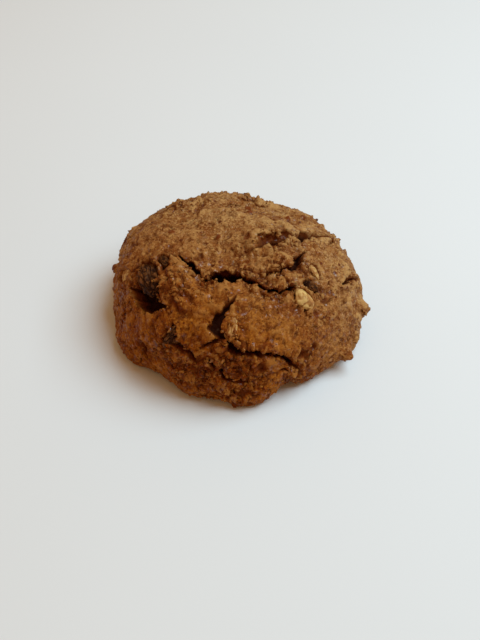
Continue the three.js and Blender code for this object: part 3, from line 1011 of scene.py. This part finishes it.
def walnut_material(colours):
    """Yellow-tan broken nut meat with browner skin left in its creases."""
    material, t = new_material("walnut_meat")
    place = t.millimetres()
    meat = use_mottle(t, colours.walnut, colours.walnut_light, colours.walnut_dark, 0.9)
    skin = t.ramp(t.noise(place, 2.2, 3, 0.6), 0.5, 0.66, 0.0, 0.85)
    folds = t.ramp(t.mask("relief"), 0.0, -0.4, 0.0, 0.7)
    colour = t.paint(meat, (skin, colours.walnut_skin), (folds, colours.walnut_dark))
    rough = t.ramp(t.noise(place, 1.0, 2, 0.5), 0.3, 0.7, 0.45, 0.75)
    grain = use_grain(t, 0.8, 0.4, 0.2)
    finish_material(t, colour, rough, grain, 0.2, Specular_IOR_Level=0.4)
    return material


def paper_material(colours):
    """Plain pale paper with the faintest unevenness."""
    material, t = new_material("pale_paper")
    place = t.millimetres()
    cloud = t.ramp(t.noise(place, 180.0, 2, 0.5), 0.35, 0.65)
    colour = t.mix(cloud, colours.floor, tuple(c * 0.985 for c in colours.floor))
    grain = t.noise(place, 1.5, 2, 0.5)
    finish_material(t, colour, 0.75, grain, 0.01, Specular_IOR_Level=0.2)
    return material


# ---- Raisins, walnut pieces and loose crumbs ----

def ball_net(rows, columns):
    """Directions over a ball: rows from pole to pole, columns around, with both poles closed."""
    polar = np.pi * np.arange(1, rows) / rows
    turn = 2 * np.pi * np.arange(columns) / columns
    p, q = (w.ravel() for w in np.meshgrid(polar, turn, indexing="ij"))
    ring = np.stack([np.sin(p) * np.cos(q), np.sin(p) * np.sin(q), np.cos(p)], -1)
    directions = np.concatenate([ring, [[0, 0, 1], [0, 0, -1]]])
    top, bottom = len(ring), len(ring) + 1
    j, i = (w.ravel() for w in np.meshgrid(np.arange(rows - 2), np.arange(columns), indexing="ij"))
    a, b = j * columns + i, j * columns + (i + 1) % columns
    quads = np.stack([a, a + columns, b + columns, b], -1)
    k = np.arange(columns)
    k_next = (k + 1) % columns
    last = (rows - 2) * columns
    caps = np.concatenate([
        np.stack([np.full(columns, top), k, k_next], -1),
        np.stack([np.full(columns, bottom), last + k_next, last + k], -1),
    ])
    return directions, quads, caps


def raisin_shape(directions, half, seed):
    """An oval whose radius is cut by long wavy folds and pinched unevenly."""
    stretched = directions * (1.0, 2.1, 2.1)
    warp = stretched + 0.5 * drift_of(stretched, 0.9, seed + 1)
    folds = 1 - abs(soft(warp, 0.62, seed + 4)) * 3.2
    folds = np.clip(folds, 0, 1) ** 1.5
    small = 1 - np.clip(abs(soft(warp, 0.3, seed + 5)) * 3.5, 0, 1)
    pinch = 0.16 * soft(directions, 0.9, seed + 6)
    radius = 1.02 + pinch - 0.17 * folds - 0.06 * small
    # The second value, low in the folds, sets the painted fold shade
    return directions * radius[:, None] * half, -(0.8 * folds + 0.35 * small) + 0.25


def walnut_shape(directions, half, seed):
    """A broken block: the softened meeting of random flat breaks, with ripples over it."""
    random = np.random.default_rng(seed + 100)
    breaks = unit(random.normal(size=(11, 3)))
    far = 0.8 + 0.25 * random.random(11)
    facing = np.maximum(directions @ breaks.T, 0.02)
    sharp = 12
    radius = ((far / facing) ** -sharp).sum(1) ** (-1 / sharp)
    radius = np.minimum(radius, 1.25)
    bent = directions + 0.2 * drift_of(directions, 0.5, seed + 1)
    ripple = soft(bent, 0.33, seed + 4)
    furrow = 1 - np.clip(abs(soft(bent, 0.6, seed + 5)) * 4, 0, 1)
    radius = radius * (1 + 0.05 * ripple) - 0.11 * furrow
    return directions * radius[:, None] * half, 0.8 * ripple - 0.7 * furrow + 0.1


def add_baked_in(name, shape, seed):
    """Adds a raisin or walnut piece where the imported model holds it."""
    middle, axes, half = piece_frame(name)
    directions, quads, caps = ball_net(*BAKED_IN_NET)
    local, relief = shape(directions, half, seed)
    obj = new_object(name + "_look", middle + local @ axes, [quads, caps])
    add_mask(obj, "relief", relief)
    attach(obj, "root")
    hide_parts(name)
    return obj


def add_all(kind, shape, material):
    """Adds every raisin or every walnut piece, in the order of PIECES."""
    for seed, name in enumerate(n for n in PIECES if n.startswith(kind)):
        add_baked_in(name, shape, 10 * seed).data.materials.append(material)


def grain_shapes(skin_points, skin_out, torn, crack, count, seed):
    """Small lumps half sunk in the skin. Each is a ball net squashed along the skin's
    normal, stretched to one side, and dented at random at each of its vertices."""
    random = np.random.default_rng(seed)
    directions, quads, caps = ball_net(*GRAIN_NET)
    weight = np.where(crack < 0.12, 0.03 + torn ** 2, 0)
    host = random.choice(len(skin_points), count, replace=False, p=weight / weight.sum())
    out = skin_out[host]
    side = unit(np.cross(out, random.normal(size=(count, 3))))
    other = np.cross(out, side)
    size = 0.24 + 0.55 * random.random(count) ** 3
    stretch = 1 + 0.8 * random.random(count)
    height = 0.55 + 0.5 * random.random(count)
    dents = 1 + 0.28 * random.normal(size=(count, len(directions))).clip(-1.6, 1.6)
    local = directions[None] * dents[..., None] * size[:, None, None]
    local = local * np.stack([stretch, 1 / stretch ** 0.5, height], -1)[:, None]
    points = skin_points[host][:, None] + local[..., :1] * side[:, None] + local[..., 1:2] * other[:, None]
    points = points + (local[..., 2:] - 0.1 * size[:, None, None]) * out[:, None]
    points[..., 2] = np.maximum(points[..., 2], 0.05)
    first = (np.arange(count) * len(directions))[:, None, None]
    number = (first + quads).reshape(-1, 4), (first + caps).reshape(-1, 3)
    relief = np.repeat(0.1 + 0.3 * random.normal(size=count), len(directions))
    grain_torn = np.repeat(torn[host], len(directions))
    return points.reshape(-1, 3), number, grain_torn, relief, (directions, quads, caps)


def grain_uv(count, directions, quads, caps):
    """One square tile of the map for each grain, laid out by its own longitude and latitude."""
    tiles = int(np.ceil(np.sqrt(count)))
    longitude = np.arctan2(directions[:, 1], directions[:, 0]) / (2 * np.pi) + 0.5
    latitude = np.arccos(np.clip(directions[:, 2], -1, 1)) / np.pi
    local = 0.06 + 0.88 * np.stack([longitude, latitude], -1)
    k = np.arange(count)
    corner = np.stack([k % tiles, k // tiles], -1)[:, None]
    per_quad = ((corner + local[quads.ravel()]) / tiles).reshape(-1, 2)
    per_cap = ((corner + local[caps.ravel()]) / tiles).reshape(-1, 2)
    return np.concatenate([per_quad, per_cap])


# ---- Settings ----

def colour_property(name, description, default):
    return FloatVectorProperty(
        name=name, description=description, default=default, size=3, min=0, max=1, subtype="COLOR")


def number_property(name, description, default, **kind):
    return FloatProperty(name=name, description=description, default=default, **kind)


class CookieColours(bpy.types.PropertyGroup):
    """Colours of the crumb, the raisins, the nuts and the floor."""

    crust: colour_property("Crust", "Baked crust", (0.385, 0.158, 0.037))
    crust_light: colour_property("Crust, light", "Palest crust", (0.55, 0.295, 0.098))
    crust_dark: colour_property("Crust, dark", "Browner crust", (0.245, 0.072, 0.011))
    torn: colour_property("Torn crumb", "Torn crumb between crust plates", (0.32, 0.098, 0.013))
    torn_light: colour_property("Torn crumb, light", "Palest torn crumb", (0.42, 0.158, 0.027))
    torn_dark: colour_property("Torn crumb, dark", "Darkest torn crumb", (0.18, 0.033, 0.004))
    # Painted shade tint for the front left, the side away from the window
    painted_side_shade: colour_property("Toasted", "Tint of the crust that faced the oven's heat", (0.8, 0.47, 0.08))
    film: colour_property("Thin pale film", "Flour-pale film on the crust", (0.42, 0.22, 0.085))
    ruddy: colour_property("Ruddy crumb", "Red-brown sugary spots", (0.24, 0.068, 0.01))
    sugar_and_glints: colour_property("Sugar grains and painted glints", "Pale sugar grains and painted glints on the crust", (0.7, 0.44, 0.22))
    bran: colour_property("Bran", "Red-brown bran specks", (0.11, 0.015, 0.003))
    hollow: colour_property("Hollows", "Shaded hollows of the skin", (0.125, 0.025, 0.003))
    # Painted shade deep in cracks
    crack: colour_property("Cracks", "Painted shade deep in a crack", (0.03, 0.006, 0.003))
    base: colour_property("Underside", "Baked underside", (0.2, 0.085, 0.028))
    raisin: colour_property("Raisin", "Raisin skin", (0.08, 0.017, 0.005))
    raisin_light: colour_property("Raisin, light", "Thin raisin skin", (0.24, 0.08, 0.016))
    raisin_dark_and_fold_shade: colour_property("Raisin, dark", "Dark raisin skin and painted shade in its folds", (0.018, 0.0035, 0.0015))
    raisin_bloom: colour_property("Raisin bloom", "Sugary bloom", (0.26, 0.105, 0.03))
    walnut: colour_property("Walnut", "Nut meat", (0.55, 0.26, 0.05))
    walnut_light: colour_property("Walnut, light", "Fresh break", (0.72, 0.47, 0.15))
    walnut_dark: colour_property("Walnut, dark", "Toasted edge", (0.35, 0.12, 0.016))
    walnut_skin: colour_property("Walnut skin", "Brown nut skin", (0.28, 0.105, 0.022))
    floor: colour_property("Floor", "Pale paper", (0.78, 0.79, 0.775))


class StageSettings(bpy.types.PropertyGroup):
    """Camera and light around the cookie."""

    camera_distance: number_property("Camera distance", "From the camera to its aim", 0.30, unit="LENGTH")
    camera_elevation: number_property("Camera elevation", "Above the table", np.radians(45), subtype="ANGLE")
    lens: number_property("Lens", "Focal length", 55.1, unit="CAMERA")
    key_power: number_property("Window light", "Power of the window light", 7.8, unit="POWER")
    key_size: number_property("Window size", "Side of the window", 0.6, unit="LENGTH")
    key_distance: number_property("Window distance", "From the cookie", 0.8, unit="LENGTH")
    key_azimuth: number_property(
        "Window azimuth", "From the right, round to the back", np.radians(6), subtype="ANGLE")
    key_elevation: number_property("Window elevation", "Above the table", np.radians(60), subtype="ANGLE")
    key_colour: colour_property("Window colour", "Cool daylight", (0.58, 0.79, 0.94))
    fill_strength: number_property("Room light", "Strength of the light from all round", 0.44)
    fill_colour: colour_property("Room colour", "Warm light from the walls", (1.0, 0.60, 0.30))


# ---- Operators ----

def base_map(u, v):
    """The underside's corner of the square map, for places of a net from -1 to 1."""
    return BASE_UV_LOW + BASE_UV_SIDE * np.stack([(u + 1) / 2, (v + 1) / 2], -1)


class COOKIE_OT_crumb(bpy.types.Operator):
    """Add the baked crumb of the cookie, with its cracks, pits and pockets"""

    bl_idname = "cookie.crumb"
    bl_label = "Crumb"

    def execute(self, context):
        points, faces, below, band, masks, (u, v, base_u, base_v) = crumb_mesh()
        material = crumb_material(context.scene.cookie_colours)
        obj = new_object("crumb_look", points, [faces, below, band])
        for name, values in masks.items():
            add_mask(obj, name, values)
        skin_uv = np.stack([(u + 1) / 2, SKIN_UV_LOW + (1 - SKIN_UV_LOW) * (v + 1) / 2], -1)
        base_uv = base_map(base_u * BASE_SHARE, base_v * BASE_SHARE)
        both = np.concatenate([skin_uv, base_uv])
        band_uv = np.concatenate([base_map(u, v), base_uv])
        add_uv(obj, np.concatenate([both[faces.ravel()], both[below.ravel()], band_uv[band.ravel()]]))
        obj.data.materials.append(material)
        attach(obj, "root")
        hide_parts(CRUMB_NODE)
        self.add_grains(points, faces, masks, material)
        return {"FINISHED"}

    def add_grains(self, points, faces, masks, material):
        """Adds the small lumps that stand on the skin."""
        skin_count = (SKIN_CELLS + 1) ** 2
        skin = points[:skin_count]
        corners = skin[faces]
        normal = np.cross(corners[:, 1] - corners[:, 0], corners[:, 3] - corners[:, 0])
        ends = faces.ravel()
        total = [np.bincount(ends, np.repeat(normal[:, k], 4), skin_count) for k in range(3)]
        out = unit(np.stack(total, -1))
        lumps, (quads, caps), torn, relief, shape = grain_shapes(
            skin, out, masks["torn"][:skin_count], masks["crack"][:skin_count], GRAIN_COUNT, 5)
        obj = new_object("crumb_grains", lumps, [quads, caps])
        for name, values in (("torn", torn), ("relief", relief), ("crack", 0 * torn), ("base", 0 * torn)):
            add_mask(obj, name, values)
        add_uv(obj, grain_uv(GRAIN_COUNT, *shape))
        obj.data.materials.append(material)
        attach(obj, "root")


class COOKIE_OT_raisins(bpy.types.Operator):
    """Add the raisins baked into the skin"""

    bl_idname = "cookie.raisins"
    bl_label = "Raisins"

    def execute(self, context):
        add_all("raisin", raisin_shape, raisin_material(context.scene.cookie_colours))
        return {"FINISHED"}


class COOKIE_OT_walnuts(bpy.types.Operator):
    """Add the walnut pieces baked into the skin"""

    bl_idname = "cookie.walnuts"
    bl_label = "Walnut pieces"

    def execute(self, context):
        add_all("walnut", walnut_shape, walnut_material(context.scene.cookie_colours))
        return {"FINISHED"}


class COOKIE_OT_stage(bpy.types.Operator):
    """Add the pale floor, the window and room light, and the camera"""

    bl_idname = "cookie.stage"
    bl_label = "Floor, light and camera"

    def execute(self, context):
        scene = context.scene
        settings = scene.cookie_stage
        corners = np.array([(-1, -1, 0), (1, -1, 0), (1, 1, 0), (-1, 1, 0)]) * FLOOR_REACH
        floor = new_object("floor", corners, [np.array([[0, 1, 2, 3]])], smooth_faces=False)
        floor.data.materials.append(paper_material(scene.cookie_colours))
        aim = Vector((SHIFT[0], SHIFT[1] - AIM_FORWARD, 0)) * MM
        window = bpy.data.lights.new("window", "AREA")
        window.energy = settings.key_power
        window.size = settings.key_size
        window.color = settings.key_colour
        lamp = bpy.data.objects.new("window", window)
        turn, rise = settings.key_azimuth, settings.key_elevation
        toward = Vector((np.cos(turn) * np.cos(rise), np.sin(turn) * np.cos(rise), np.sin(rise)))
        lamp.location = aim + toward * settings.key_distance
        lamp.rotation_euler = (-toward).to_track_quat("-Z", "Y").to_euler()
        scene.collection.objects.link(lamp)
        world = bpy.data.worlds.new("room")
        world.use_nodes = True
        back = world.node_tree.nodes["Background"]
        back.inputs["Color"].default_value = (*settings.fill_colour, 1)
        back.inputs["Strength"].default_value = settings.fill_strength
        scene.world = world
        data = bpy.data.cameras.new("camera")
        data.lens = settings.lens
        data.sensor_width = 36.0
        data.clip_start, data.clip_end = 0.01, 20
        camera = bpy.data.objects.new("camera", data)
        rise = settings.camera_elevation
        back_off = Vector((0, -np.cos(rise), np.sin(rise)))
        camera.location = aim + back_off * settings.camera_distance
        camera.rotation_euler = (np.pi / 2 - rise, 0, 0)
        scene.collection.objects.link(camera)
        scene.camera = camera
        scene.view_settings.view_transform = "Standard"
        return {"FINISHED"}


STEPS = (COOKIE_OT_crumb, COOKIE_OT_raisins, COOKIE_OT_walnuts, COOKIE_OT_stage)


class VIEW3D_PT_cookie(bpy.types.Panel):
    """Buttons for each step of the cookie"""

    bl_label = "Cookie"
    bl_space_type = "VIEW_3D"
    bl_region_type = "UI"
    bl_category = "Cookie"

    def draw(self, context):
        for step in STEPS:
            self.layout.operator(step.bl_idname)
        for settings in (context.scene.cookie_stage, context.scene.cookie_colours):
            box = self.layout.box()
            for name in settings.__annotations__:
                box.prop(settings, name)


CLASSES = (CookieColours, StageSettings, *STEPS, VIEW3D_PT_cookie)


def register():
    for cls in CLASSES:
        bpy.utils.register_class(cls)
    bpy.types.Scene.cookie_colours = PointerProperty(type=CookieColours)
    bpy.types.Scene.cookie_stage = PointerProperty(type=StageSettings)


def unregister():
    del bpy.types.Scene.cookie_stage
    del bpy.types.Scene.cookie_colours
    for cls in reversed(CLASSES):
        bpy.utils.unregister_class(cls)


def main():
    register()
    bpy.ops.cookie.crumb()
    bpy.ops.cookie.raisins()
    bpy.ops.cookie.walnuts()
    bpy.ops.cookie.stage()


if __name__ == "__main__":
    main()
